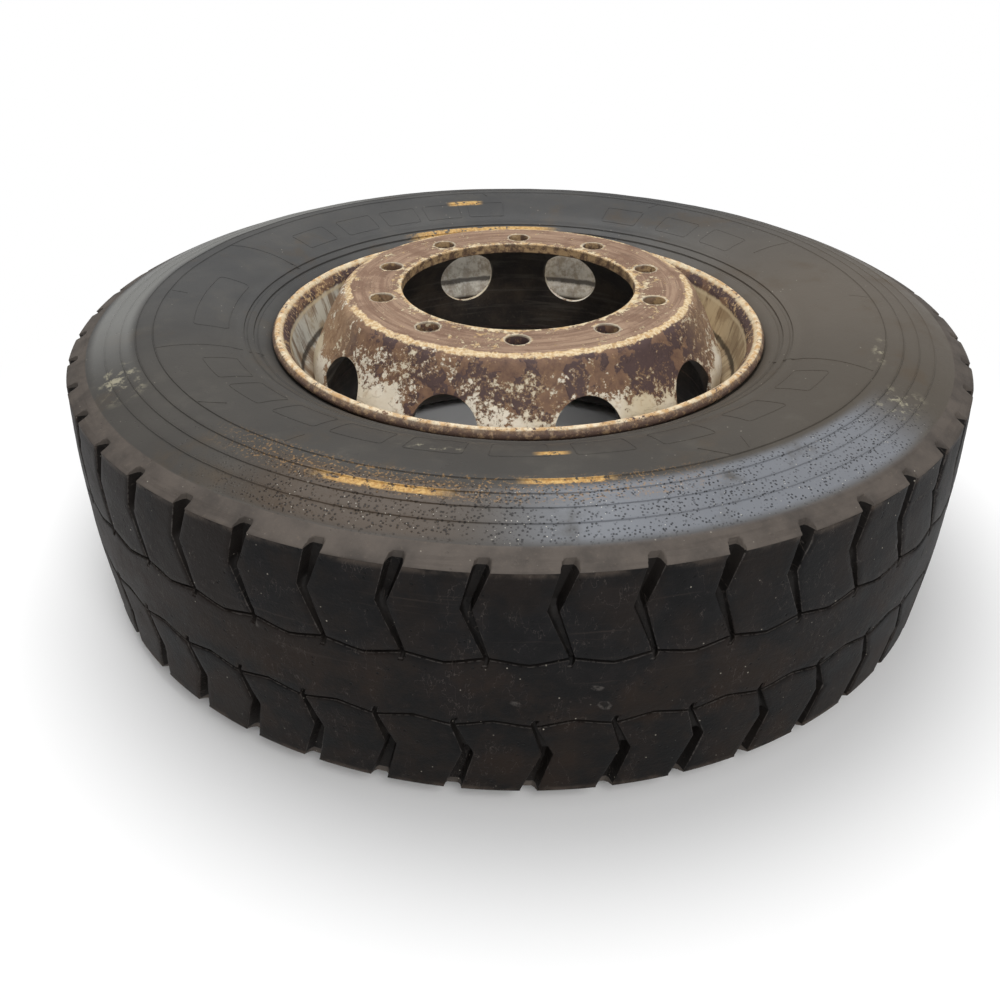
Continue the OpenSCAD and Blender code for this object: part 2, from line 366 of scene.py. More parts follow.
def rubber_material():
    m = Mat("worn_rubber")
    zeta = m.sub(m.z, MID * MM)
    up = m.f("ABSOLUTE", zeta)
    top_side = m.step(zeta, 0.0, 0.05)
    tread = m.mul(m.step(up, 0.1275, 0.1268), m.step(m.R, 0.504, 0.506))
    butt = m.mul(m.step(m.R, 0.5015, 0.5030), m.inv(tread))
    crown_r = m.sub(CROWN_R * MM, m.mul(zeta, zeta, 1 / (2 * CROWN_ARC * MM)))
    depth = m.sub(crown_r, m.R)
    groove = m.mul(tread, m.step(depth, 0.0012, 0.0035))

    big = m.noise(5, 4, 0.6, seed=1)
    mid = m.noise(28, 6, 0.65, seed=2)
    fine = m.noise(260, 4, 0.7, seed=3)
    speck = m.noise(700, 2, 0.6, seed=4)
    drag = m.drawn(0.05, 0.004, seed=5)
    near = m.mul(m.azband(-165, -15, 22), top_side)

    # sidewall: smooth dark grey, browner on the near and right sides, dusty in soft clouds
    side = m.mix(m.step(big, 0.35, 0.68), (66, 66, 66), (80, 79, 77))
    side = m.over(
        side,
        (m.azband(-60, 35, 30), 0.75, (98, 90, 80)),
        (near, 0.5, (62, 57, 50)),
        (m.step(mid, 0.5, 0.75), 0.35, (92, 88, 81)),
        (m.step(fine, 0.55, 0.8), 0.3, (44, 43, 41)))
    dirt = m.mul(m.step(m.noise(11, 6, 0.62, seed=6), 0.54, 0.70), 0.5)
    side = m.mix(dirt, side, (80, 69, 56))
    # painted highlight: the band of raised rings made lighter on the left side
    ring_highlight = m.patch(120, 200, 14, 0.452, 0.497, 0.006)
    side = m.over(side, (ring_highlight, 0.7, (128, 128, 125)))
    # buttress: paler, brownish, flat
    wall = m.mix(m.step(mid, 0.35, 0.7), (88, 81, 75), (70, 65, 61))
    wall = m.over(
        wall,
        (m.step(fine, 0.55, 0.75), 0.45, (108, 97, 86)),
        (m.step(drag, 0.5, 0.7), 0.35, (54, 48, 44)))
    # tread: near-black, brown mud towards the left and the lower half, pale scratches
    face = m.mix(m.step(mid, 0.35, 0.72), (9, 9, 10), (24, 23, 24))
    mud = m.step(m.add(m.noise(13, 7, 0.66, seed=7), m.mul(m.azband(-230, -125, 15), 0.14)), 0.44, 0.60)
    low_half = m.mixf(m.step(zeta, 0.055, -0.02), 0.35, 1.0)
    # painted shade: the tread made darker on its lower half, towards the floor
    lower_shade = m.mul(m.step(zeta, 0.06, -0.03), 0.55)
    face = m.over(
        face,
        (m.mul(mud, low_half), 0.8, (42, 31, 23)),
        (m.step(drag, 0.56, 0.76), 0.5, (56, 49, 44)),
        (m.step(fine, 0.58, 0.75), 0.3, (48, 44, 41)))
    # painted shade on the lower half of the tread
    face = m.mix(lower_shade, face, m.mix(m.step(mid, 0.4, 0.6), (6, 6, 6), (26, 18, 13)))
    pits = m.step(m.cells(120), 0.20, 0.10)
    pits = m.mul(pits, m.step(m.noise(40, 3, 0.6, seed=8), 0.5, 0.62))
    face = m.over(face, (pits, 0.8, (10, 10, 10)))
    dusty = m.mix(m.step(mid, 0.4, 0.65), (34, 31, 29), (12, 11, 10))
    face = m.over(face, (groove, 0.7, dusty))
    worn_edge = m.mul(tread, m.band(depth, 0.0012, 0.0021, 0.0003), m.step(fine, 0.38, 0.56))
    face = m.over(face, (worn_edge, 0.65, (78, 74, 71)))
    cut = m.mul(m.band(m.streaks(0.006, 0.03, 3, 0.6, seed=16), 0.495, 0.503, 0.002), m.step(mid, 0.48, 0.56))
    face = m.over(face, (cut, 0.6, (70, 64, 60)))
    lug_edge = m.mul(m.step(up, 0.120, 0.1262), tread)
    face = m.mix(m.mul(lug_edge, m.inv(groove), m.mul(m.step(mid, 0.4, 0.6), 0.5)), face, (84, 74, 66))

    colour = m.mix(butt, side, wall)
    colour = m.mix(tread, colour, face)

    # wet patch on the near side with droplets and painted glints, a painted bluish sky reflection on its
    # right part, and golden mud smears
    wet = m.patch(-122, -36, 9, 0.437, 0.500, 0.006)
    wet = m.mul(wet, m.step(m.noise(14, 5, 0.6, seed=9), 0.24, 0.42))
    wet = m.mul(wet, top_side)
    # painted reflection: bluish sky colour on the right part of the wet patch
    painted_reflection = m.mul(wet, m.azband(-88, -38, 8))
    brown = m.mul(wet, m.azband(-122, -94, 8))
    colour = m.over(
        colour,
        (painted_reflection, 0.7, (124, 128, 135)),
        (brown, 0.7, (74, 60, 46)))
    drops = m.mul(m.step(m.cells(300), 0.40, 0.20), m.step(m.noise(60, 3, 0.6, seed=10), 0.38, 0.50))
    drops = m.mul(drops, wet)
    colour = m.over(colour, (drops, 0.8, (22, 21, 22)))
    glint = m.mul(m.step(m.cells(210), 0.12, 0.07), m.step(m.noise(35, 3, 0.6, seed=14), 0.46, 0.56), wet)
    colour = m.over(colour, (glint, 0.8, (206, 202, 190)))

    smear = m.top(*[m.patch(*place) for place in SMEARS])
    smear = m.mul(smear, m.step(m.noise(120, 4, 0.7, seed=11), 0.40, 0.47), top_side)
    colour = m.over(colour, (smear, 0.9, m.mix(m.step(fine, 0.4, 0.6), (206, 170, 108), (176, 134, 76))))
    # thin golden dust round the near smears
    haze = m.mul(m.patch(-125, -70, 8, 0.424, 0.458, 0.005), top_side)
    haze = m.mul(haze, m.step(m.noise(330, 3, 0.7, seed=15), 0.54, 0.62))
    colour = m.over(colour, (haze, 0.7, (150, 118, 78)))

    pale = m.top(*[m.patch(*place) for place in PALE_SPOTS])
    pale = m.mul(pale, m.step(m.noise(75, 5, 0.7, seed=12), 0.50, 0.62), top_side)
    colour = m.over(colour, (pale, 0.7, (164, 158, 136)))
    specks = m.mul(m.step(m.cells(95), 0.085, 0.05), m.step(m.noise(13, 3, 0.6, seed=13), 0.5, 0.6))
    colour = m.over(colour, (specks, 0.7, (166, 160, 148)))

    rough = m.mixf(tread, m.mixf(butt, 0.44, 0.66), 0.60)
    rough = m.add(rough, m.mul(m.sub(mid, 0.5), 0.35))
    rough = m.mixf(wet, rough, m.mixf(drops, 0.28, 0.08))
    rough = m.mixf(smear, rough, 0.5)

    height = m.add(m.mul(mid, 0.5), m.mul(fine, 0.22))
    height = m.add(height, m.mul(speck, 0.06))
    height = m.sub(height, m.mul(pits, 0.6))
    height = m.add(height, m.mul(drops, 0.5))
    height = m.mul(height, m.mixf(tread, 0.7, 2.4))
    normal = m.bump(height, 0.0016, 0.55)
    return m.end(colour, rough, normal, specular=0.13)


# ---- paint and rust
def scale_rust(m, seed):
    """Flaky rust: sharp-edged purple-brown scale over lighter brown, with a grain.

    Gives its coarse, middle and fine noise and the colour.
    """
    a = m.noise(24, 7, 0.62, seed=seed, warp=0.3)
    b = m.noise(95, 6, 0.7, seed=seed + 1)
    c = m.noise(420, 4, 0.7, seed=seed + 2)
    colour = m.mix(m.step(b, 0.38, 0.66), (122, 94, 74), (96, 72, 60))
    colour = m.over(
        colour,
        (m.step(a, 0.465, 0.478), 0.95, (76, 59, 58)),
        (m.step(b, 0.60, 0.72), 0.6, (52, 40, 38)),
        (m.step(c, 0.56, 0.74), 0.45, (140, 114, 92)))
    return a, b, c, colour


def old_paint(m, seed):
    """Aged cream paint, stained gold and brown, chalky. Gives the stains' noise and the colour."""
    stain = m.noise(110, 5, 0.66, seed=seed + 1)
    colour = m.mix(m.step(m.noise(12, 5, 0.6, seed=seed), 0.35, 0.65), (226, 218, 202), (202, 188, 160))
    return stain, m.over(colour, (m.step(stain, 0.52, 0.68), 0.65, (168, 136, 98)))


def shade_and_grime(m, seed):
    """Near-black painted shade with some dirt in it, for the hub side and the deep inside of the wheel."""
    a = m.noise(20, 6, 0.65, seed=seed)
    b = m.noise(240, 4, 0.7, seed=seed + 1)
    colour = m.mix(m.step(a, 0.40, 0.68), (34, 28, 24), (62, 52, 42))
    colour = m.over(colour, (m.step(b, 0.56, 0.72), 0.5, (84, 74, 60)))
    return m.over(colour, (m.step(m.drawn(0.10, 0.008, seed=seed + 2), 0.50, 0.66), 0.6, (82, 76, 68)))


def disc_material():
    m = Mat("rusty_disc")
    a, b, c, scale = scale_rust(m, 20)
    stain, cream = old_paint(m, 30)
    flake = m.noise(62, 8, 0.76, seed=24)
    crumb = m.noise(210, 6, 0.75, seed=25)
    face = m.step(m.z, 0.3222, 0.3242)

    # bolting face: smooth grey-brown rust brushed in arcs, cream crumbs round the bore and the bolt holes
    arc = m.drawn(0.07, 0.0016, seed=26)
    wide_arc = m.drawn(0.12, 0.007, 3, 0.6, seed=27)
    plain = m.mix(m.step(wide_arc, 0.38, 0.62), (152, 126, 104), (124, 97, 78))
    plain = m.over(
        plain,
        (m.step(m.noise(26, 6, 0.66, seed=29), 0.46, 0.62), 0.75, (112, 84, 66)),
        (m.step(arc, 0.48, 0.66), 0.65, (94, 72, 57)),
        (m.step(c, 0.55, 0.70), 0.45, (178, 156, 134)))
    turned = m.f("WRAP", m.add(m.az, math.radians(90)), math.radians(18), math.radians(-18))
    bx = m.sub(m.mul(m.R, m.f("COSINE", turned)), BOLT_PCR * MM)
    by = m.mul(m.R, m.f("SINE", turned))
    from_bolt = m.length(bx, by)
    crumbs = m.add(m.mul(flake, 0.5), m.mul(crumb, 0.5))
    near_bore = m.add(m.mul(m.step(m.R, 0.150, 0.141), 0.075), m.mul(m.step(m.R, 0.166, 0.146), 0.045))
    near_bore = m.add(near_bore, m.mul(m.step(m.noise(14, 4, 0.6, seed=35), 0.48, 0.62), 0.04))
    ring = m.mul(m.step(from_bolt, 0.0190, 0.0145), 0.07)
    on_face = m.step(m.add(crumbs, m.add(near_bore, ring)), 0.572, 0.586)

    # flank: scale with flakes of paint, more of it low down and between the hand holes
    level = m.step(m.z, 0.320, 0.215)
    between = m.mul(m.step(m.f("COSINE", m.mul(turned, BOLTS)), -0.2, 0.8), m.step(m.z, 0.285, 0.245))
    grow = m.add(m.mul(m.noise(20, 4, 0.6, seed=28), 0.35), m.add(m.mul(flake, 0.50), m.mul(crumb, 0.42)))
    grow = m.add(grow, m.add(m.mul(level, 0.10), m.mul(between, 0.13)))
    grow = m.add(grow, m.mul(m.azband(-150, -112, 8), 0.015))
    on_flank = m.step(grow, 0.700, 0.712)
    halo = m.mul(m.step(grow, 0.655, 0.700), 0.75)
    ragged = m.add(m.R, m.mul(m.sub(flake, 0.5), 0.020))
    edge = m.mul(m.band(ragged, 0.2010, 0.2090, 0.0008), m.step(m.z, 0.311, 0.314))
    more = m.mul(m.azband(-160, 5, 25), 0.10)
    edge = m.mul(edge, m.step(m.add(m.noise(32, 5, 0.68, seed=36), more), 0.44, 0.50))

    tan = m.mix(m.step(b, 0.35, 0.65), (168, 140, 110), (136, 106, 80))
    tan = m.over(tan, (m.step(crumb, 0.54, 0.64), 0.5, (196, 176, 144)))
    scale = m.over(scale, (m.top(m.azband(158, 212, 12), m.mul(m.azband(-24, 30, 12), 0.7)), 0.9, tan))
    body = m.mix(halo, scale, (150, 118, 84))
    body = m.mix(on_flank, body, cream)
    gold = m.mix(m.step(crumb, 0.40, 0.60), (220, 202, 166), (182, 146, 98))
    top = m.mix(on_face, plain, m.mix(m.step(stain, 0.42, 0.58), (206, 190, 158), (184, 152, 108)))
    top = m.over(top, (m.band(from_bolt, 0.0125, 0.0152, 0.0007), 0.7, (176, 166, 148)))
    colour = m.over(m.mix(face, body, top), (edge, 0.92, gold))
    # bore wall and bolt walls gold and brown, the hub side nearly black: painted shade with some dirt
    walls = m.mul(m.step(m.z, 0.3115, 0.3145), m.step(m.facing(), 0.3, 0.0))
    back = m.mul(m.step(m.facing(), 0.02, -0.10), m.inv(walls))
    colour = m.over(colour, (walls, 0.9, m.mix(m.step(flake, 0.44, 0.56), (96, 74, 58), (178, 148, 108))))
    # painted shade with some dirt over the hub side
    colour = m.mix(back, colour, shade_and_grime(m, 34))

    painted = m.mul(m.top(m.mul(on_flank, m.inv(face)), m.mul(on_face, face)), m.inv(back))
    rough = m.mixf(painted, 0.70, 0.52)
    relief = m.add(m.mul(m.step(a, 0.485, 0.50), m.mul(m.inv(face), 0.45)), m.mul(painted, 0.7))
    height = m.add(relief, m.add(m.mul(b, 0.5), m.mul(c, 0.25)))
    normal = m.bump(height, 0.0014, 0.7)
    return m.end(colour, rough, normal, specular=0.35)


def rim_material():
    m = Mat("rim_paint")
    _, b, c, scale = scale_rust(m, 50)
    stain = old_paint(m, 60)[0]
    flake = m.noise(75, 8, 0.76, seed=62)
    crumb = m.noise(240, 6, 0.75, seed=63)
    streak = m.streaks(0.012, 0.09, seed=61)
    fine_streak = m.streaks(0.003, 0.05, seed=64)

    # seat: white-grey paint on the left, creamier to the right, stained downward
    seat = m.mix(m.azband(100, 220, 25), (182, 162, 130), (190, 187, 176))
    seat = m.over(
        seat,
        (m.step(m.noise(22, 6, 0.65, seed=65), 0.46, 0.58), 0.75, (142, 120, 92)),
        (m.step(streak, 0.49, 0.60), 0.8, (110, 84, 60)),
        (m.step(fine_streak, 0.56, 0.72), 0.5, (74, 56, 42)),
        (m.azband(54, 126, 6), 0.75, m.mix(m.step(flake, 0.42, 0.6), (196, 192, 182), (138, 130, 118))))
    # painted shade: a dark, ragged band in the fold at the foot of the seat
    crease_shade = m.band(m.add(m.z, m.mul(m.sub(flake, 0.5), 0.008)), 0.2275, 0.2335, 0.0015)
    seat = m.over(seat, (crease_shade, 0.85, (40, 32, 26)))
    # curled flange: brown and dark, speckled; its lip mottled cream, gold and purple-brown
    grow = m.add(m.mul(flake, 0.55), m.mul(crumb, 0.45))
    lip = m.step(m.z, 0.2800, 0.2832)
    curl = m.step(m.add(m.z, m.mul(m.sub(flake, 0.5), 0.012)), 0.2665, 0.2705)
    flange = m.mix(m.step(grow, 0.52, 0.56), scale, (186, 158, 118))
    lip_paint = m.mix(m.step(stain, 0.40, 0.60), (222, 206, 176), (196, 158, 110))
    top = m.mix(m.step(grow, 0.440, 0.465), scale, lip_paint)
    inner_edge = m.mul(m.step(m.R, 0.2900, 0.2885), m.step(m.z, 0.2820, 0.2832))
    top = m.over(top, (inner_edge, 0.6, (206, 190, 158)))
    colour = m.mix(curl, seat, flange)
    # painted highlight: a pale line along the convex bend where the flange turns into the seat
    ridge_highlight = m.band(m.add(m.z, m.mul(m.sub(flake, 0.5), 0.006)), 0.2640, 0.2680, 0.0015)
    colour = m.over(colour, (ridge_highlight, 0.7, (196, 180, 148)))
    colour = m.mix(lip, colour, top)
    outer = m.mul(m.step(m.R, 0.2942, 0.2957), m.step(m.z, 0.27, 0.275))
    colour = m.over(colour, (outer, 0.85, m.mix(m.step(grow, 0.50, 0.56), (92, 72, 62), (142, 116, 90))))
    # painted shade: below the seat the rim goes nearly black, with some dirt
    colour = m.mix(m.step(m.z, 0.2135, 0.2085), colour, shade_and_grime(m, 68))
    rusty = m.mul(m.top(curl, lip), m.step(grow, 0.52, 0.48))
    rough = m.mixf(rusty, 0.52, 0.74)
    height = m.sub(m.add(m.mul(b, 0.35), m.mul(c, 0.2)), m.mul(rusty, 0.4))
    normal = m.bump(height, 0.0012, 0.6)
    return m.end(colour, rough, normal, specular=0.35)


def weld_material():
    m = Mat("rusty_weld")
    _, b, c, scale = scale_rust(m, 70)
    # partly painted shade: the weld's rust mixed with the near-black shade of the wheel's inside
    colour = m.mix(0.6, scale, shade_and_grime(m, 74))
    return m.end(colour, 0.8, m.bump(m.add(b, m.mul(c, 0.5)), 0.0015, 0.7), specular=0.3)


def fitting(name, base, dirt, metal, rough, seed):
    """A valve part's material, with dirt that also takes the metal's shine."""
    m = Mat(name)
    a = m.noise(120, 5, 0.65, seed=seed)
    b = m.noise(600, 4, 0.7, seed=seed + 1)
    dull = m.step(m.add(a, m.mul(b, 0.2)), 0.52, 0.68)
    normal = m.bump(m.add(a, m.mul(b, 0.5)), 0.0005, 0.5)
    return m.end(m.mix(dull, base, dirt), m.mixf(dull, rough, 0.8), normal, metal=m.mul(m.inv(dull), metal))


# ---- tyre
LUGS = 46
PITCH = TAU * CROWN_R / LUGS
LUG_PHASE = math.radians(-84.1)
LOW_PHASE = math.radians(-81.4)
RIB_POS, RIB_WAVE, RIB_H = 40.0, 7.0, 2.0
# the two rows of grooves: place of the bend, and how far the bend and the end lie round from the mouth
UPPER = dict(bend=90.0, bshift=-22.0, eshift=-4.5)
LOWER = dict(bend=76.0, bshift=25.0, eshift=12.0)
HALF_MOUTH, HALF_BEND, HALF_END = 10.0, 5.5, 2.5
DEEP_R, SHALLOW_R = 512.0, 522.0
# columns of one pitch: share of the groove half width, then of the block beside it
GROOVE_COL = [(0.0, 0.0), (0.55, 0.0), (0.80, 0.22), (0.93, 0.66), (1.0, 1.0)]
BLOCK_COL = [0.0, 0.18, 0.42, 0.70]
EDGE_LAND = 1.6
# rings of the buttress by radius, the shoulder's radius and distance from the middle plane,
# and the rings of the two rows of blocks by that distance
BUTTRESS_R = [503.0, 506.0, 509.0, 511.4, 512.8, 514.6, 517.4, 519.8, 521.6, 523.2]
SHOULDER = (524.1, 127.45)
UPPER_ROWS = [125.6, 121.5, 116, 110.5, 105, 100, 96, 93, 90, 86.5, 82, 77, 72, 66, 60, 54, 48.5]
LOWER_ROWS = [125.6, 121, 114, 107, 100, 93, 87, 82, 79, 76, 72.5, 68, 62, 55, 48.5]


def half_groove(a, row):
    """Half the width of a lug groove at a distance a from the middle plane."""
    return np.interp(a, [RIB_POS, row["bend"], HALF_W], [HALF_END, HALF_BEND, HALF_MOUTH])


def groove_shift(a, row):
    """How far round the groove has bent from its mouth, in mm."""
    return np.interp(a, [RIB_POS, row["bend"], HALF_W], [row["eshift"], row["bshift"], 0.0])


def pitch_columns(w):
    """Columns of one pitch from the groove's middle, and their share f: 0 floor, 1 surface, 2 block."""
    u, f = [], []
    for s, k in GROOVE_COL:
        u.append(s * w)
        f.append(k)
    land = w + EDGE_LAND
    for s in BLOCK_COL:
        u.append(land + (PITCH / 2 - land) * s)
        f.append(2.0)
    left_u = [-v for v in u[1:]][::-1]
    left_f = f[1:][::-1]
    return np.array([-PITCH / 2] + left_u + u), np.array([2.0] + left_f + f)


COLS = len(pitch_columns(5.0)[0])
col_base = np.repeat(np.arange(LUGS), COLS) * (TAU / LUGS)
lump = waves(60, 1)
chip_noise = waves(9, 2)
chip_place = waves(38, 3)
pit_noise = waves(13, 4)


def rib_line(u):
    """Distance of the zigzag groove beside the middle rib from the middle plane."""
    t = np.clip(np.abs(u) / (PITCH / 2), 0, 1)
    return RIB_POS - RIB_WAVE * (0.5 - 0.5 * np.cos(np.pi * t)) * 0.35 - RIB_WAVE * t * 0.65


def tread_row(row, sign, phase, a_of_u, kind="block", r_row=None):
    """One ring of the tread, or of the buttress where it has a radius of its own, r_row.

    u runs round one pitch, and a_of_u gives the distance from the middle plane there.
    """
    w = float(half_groove(a_of_u(np.zeros(1))[0], row))
    u1, f1 = pitch_columns(w)
    a1 = a_of_u(u1)
    u, f, a = np.tile(u1, LUGS), np.tile(f1, LUGS), np.tile(a1, LUGS)
    az = phase + np.tile((groove_shift(a1, row) + u1) / CROWN_R, LUGS) + col_base
    P = ring_xyz(CROWN_R, az, sign * a)
    chips = np.clip(chip_noise(P) - 0.35, 0, 1) * np.clip(chip_place(P) - 0.1, 0, 1) * 5.0
    deep = np.interp(a, [row["bend"] - 5, row["bend"] + 3], [SHALLOW_R, DEEP_R])
    wall = deep + (crown(np.minimum(a, 128.0)) - 1.0 - deep) * np.clip(f, 0, 1)
    if r_row is None:
        surf = crown(a)
        worn = 0.35 + 0.35 * lump(P) + 0.25 * np.clip(pit_noise(P), 0, 1)
        edge_drop = np.where(f == 1.0, 0.8, 0.0)
        near = np.zeros(len(a))
        near[np.abs(np.abs(u) - (w + EDGE_LAND)) < 0.01] = 0.5
        near[f == 1.0] = 1.0
        surface = surf - np.clip(worn, 0, 2) - edge_drop - chips * near
        r = np.where(f < 1, np.minimum(surface, wall), surface)
    else:
        surf = np.full(len(a), float(r_row))
        r = np.where(f < 2, np.minimum(surf, wall + np.where(f >= 1, 1.0, 0)), surf)
    if kind == "rib_floor":
        r = np.minimum(r, SHALLOW_R + 0.2)
    elif kind == "rib_wall":
        r = np.minimum(r, SHALLOW_R + (surf - SHALLOW_R) * 0.75)
    elif kind == "rib_edge":
        r = np.minimum(r, surf - 0.9 - chips * 0.6)
    return r, az, sign * a


def tread_rows():
    """All rings from the upper buttress to the lower one: (r, azimuth, height from the middle plane)."""
    def buttress(row, sign, phase):
        return [tread_row(row, sign, phase, lambda u, a0=a0: np.full(len(u), a0), r_row=r0)
                for r0, a0 in [(r0, float(side_z(r0))) for r0 in BUTTRESS_R] + [SHOULDER]]

    def field(row, sign, phase, heights):
        got = []
        edge = RIB_H + 1.3
        pivot = 60.0
        for a0 in heights:
            def at(u, a0=a0):
                if a0 >= pivot:
                    return np.full(len(u), a0)
                lowest = rib_line(u) + edge
                return pivot + (a0 - pivot) * (pivot - lowest) / (pivot - (RIB_POS + edge))
            got.append(tread_row(row, sign, phase, at))
        down = [(edge, "block"), (RIB_H, "rib_edge"), (RIB_H * 0.75, "rib_wall"), (RIB_H * 0.5, "rib_floor")]
        for off, kind in down + [(-off, kind) for off, kind in down[::-1]]:
            got.append(tread_row(row, sign, phase, lambda u, off=off: rib_line(u) + off, kind))
        return got

    upper = buttress(UPPER, 1, LUG_PHASE) + field(UPPER, 1, LUG_PHASE, UPPER_ROWS)
    lower_phase = LOW_PHASE - TAU / LUGS
    lower = buttress(LOWER, -1, lower_phase) + field(LOWER, -1, lower_phase, LOWER_ROWS)
    rows = list(upper)
    _, az_a, z_a = upper[-1]
    _, az_b, z_b = lower[-1]
    steps = 12
    for k in range(1, steps):
        t = k / steps
        az = az_a + (az_b - az_a) * t
        z = z_a + (z_b - z_a) * t
        P = ring_xyz(CROWN_R, az, z)
        worn = np.clip(0.35 + 0.35 * lump(P) + 0.3 * np.clip(pit_noise(P), 0, 1), 0, 2)
        chips = np.clip(chip_noise(P) - 0.75, 0, 1) * np.clip(chip_place(P), 0, 1) * 4.0
        rows.append((crown(z) - worn - chips, az, z))
    return rows + lower[::-1]


SIDE_COLS = LUGS * 6
# mould lines across the sidewall: radius and azimuth of both ends
MOULD_LINES = [(427, -157, 313, -156.5), (427, 157, 318, 155), (424, -29, 311, -24), (422, 28, 366, 28.5),
               (427, -137, 408, -134), (427, -63, 405, -66), (427, 98, 410, 97)]
# blank blocks where the lettering of the maker stands: azimuths of their middles
NAME_BLOCKS = [-147, -135.5, -124, -113, -101.5, -89.5, -77.5, -65, -50.5, -36,
               38.5, 51, 65, 98, 108.5, 119, 130, 142]
BLOCK_R, BLOCK_HALF = (348, 385), 4.2
# raised rings of the sidewall: radius, height, half width
RINGS = [(502.0, 0.9, 0.9), (481.0, 1.0, 0.9), (464.0, 1.0, 0.9), (447.0, 1.1, 0.9), (428.0, 1.2, 0.9)]
# its flat bands and grooves: radius and height
BANDS = [(500.5, 0.0), (483, -0.5), (479, -0.1), (466, -0.6), (462, -0.2), (449, -0.7), (445, 0.1),
         (430, -0.3), (425, 0.2), (400, 0.3), (348, 0.3), (344, -0.2), (336, -0.2), (334, 0.7),
         (330, 0.7), (329, -0.9), (326.6, -0.9), (325.6, 0.6), (319.4, 0.6), (318.2, -1.4), (315.4, -1.4),
         (314, 0.9), (307, 1.1), (303, 0.4), (299.8, 0.0)]


def side_height(r):
    """Relief of the sidewall at radius r, without its noise."""
    xs, ys = zip(*sorted(BANDS))
    h = np.interp(r, xs, ys)
    for r0, up, half in RINGS:
        h = h + up * np.clip(1 - (np.abs(r - r0) - half * 0.3) / (half * 0.7), 0, 1)
    return h


sag_noise = waves(90, 5)
nick_noise = waves(22, 6)


def side_points(r, az, sign=1, lift=0.0):
    """Points on a sidewall, in mm, raised by lift over its own relief."""
    z0 = side_z(r)
    P = ring_xyz(r, az, sign * z0)
    h = side_height(r) + 0.35 * sag_noise(P) + 0.12 * nick_noise(P) - 0.3 + lift
    z = sign * (z0 + h * (z0 - SIDE_C) / SIDE_R)
    return ring_xyz(r + h * (r - WIDE_R) / SIDE_R, az, np.maximum(z + MID, 0))


def side_radii():
    """Radii of the sidewall's rings, from the shoulder inward."""
    r = set()
    for r0, _, half in RINGS:
        r |= {r0 - half, r0 - half * 0.3, r0 + half * 0.3, r0 + half}
    r |= {b[0] for b in BANDS}
    r |= {496, 491, 487, 475, 470, 458, 453, 440, 435, 420, 412, 405, 392, 384, 376, 368, 360, 354, 340,
          322.5, 310.5}
    return np.array(sorted((v for v in r if 299.8 <= v <= 501.4), reverse=True), float)


def build_tyre(mat):
    skin = Skin()
    rows = tread_rows()
    rings = [skin.add(ring_xyz(r, az, np.maximum(z + MID, 0))) for r, az, z in rows]
    skin.chain(rings)
    az_side = circle(SIDE_COLS) + LUG_PHASE

    def sidewall(sign, start_ring, start_az, radii):
        wall = [skin.add(side_points(np.full(SIDE_COLS, r0), az_side, sign)) for r0 in radii]
        skin.stitch(start_ring, wall[0], start_az, az_side)
        skin.chain(wall)
        return wall[-1]

    radii = side_radii()
    up_end = sidewall(1, rings[0], rows[0][1], radii)
    # every second ring will do below, where only the floor faces it
    low_end = sidewall(-1, rings[-1], rows[-1][1], np.append(radii[:-1:2], radii[-1]))
    # beads on the seats and the liner inside, coarse because the rim hides them
    inner_n = SIDE_COLS // 2
    az_in = circle(inner_n) + LUG_PHASE
    liner_side = [316, 345, 380, 418.9, 455, 485, 497]
    heel = [(298.6, 117.2), (292.3, 114.0), (286.1, 113.9), (280.9, 95.0), (276.8, 79.8), (280.6, 76.6)]
    prof = heel + [(r, float(side_z(r, 15))) for r in liner_side]
    prof += [(float(crown(z, 26)), z) for z in (112, 75, 38, 0)]
    prof += [(r, -z) for r, z in prof[-2::-1]]
    inside = [skin.add(ring_xyz(r, az_in, z + MID)) for r, z in prof]
    skin.stitch(up_end, inside[0], az_side, az_in)
    skin.chain(inside)
    skin.stitch(low_end, inside[-1], az_side, az_in)
    return finish_mesh("tyre_worn", skin.points(), skin.faces, mat, ["tyre"], sharp=40)


def ribbon(skin, r, az, width, lift):
    """A thin raised line on the sidewall through the points (r, az), closed underneath."""
    x, y = r * np.cos(az), r * np.sin(az)
    d = np.gradient(np.column_stack([x, y]), axis=0)
    d /= np.linalg.norm(d, axis=1)[:, None]
    rings = []
    for off, up in ((-0.5, -0.5), (-0.28, 1.0), (0.28, 1.0), (0.5, -0.5)):
        px, py = x - d[:, 1] * off * width, y + d[:, 0] * off * width
        rings.append(skin.add(side_points(np.hypot(px, py), np.arctan2(py, px), 1, lift * up)))
    for a, b in zip(rings, rings[1:] + rings[:1]):
        skin.faces += [[int(q) for q in f] for f in np.column_stack([a[:-1], a[1:], b[1:], b[:-1]])]
    skin.faces += [[int(k[0]) for k in rings], [int(k[-1]) for k in rings[::-1]]]


def line(r0, a0, r1, a1):
    """Points along a mark from one radius and azimuth to another."""
    n = max(3, int(abs(r1 - r0) / 7), int(abs(a1 - a0) / 1.2))
    return np.linspace(r0, r1, n), np.radians(np.linspace(a0, a1, n))


def panel_outline(skin, r0, r1, a0, a1, corner, width, lift):
    """The outline of a blank panel with rounded corners."""
    rm = (r0 + r1) / 2
    w, h = math.radians(a1 - a0) * rm / 2, (r1 - r0) / 2
    box = rounded([(-w, -h), (w, -h), (w, h), (-w, h)], [corner] * 4, 4)
    path = densify(box, 7.0)
    path = np.vstack([path, path[:1]])
    ribbon(skin, rm + path[:, 1], math.radians((a0 + a1) / 2) + path[:, 0] / rm, width, lift)


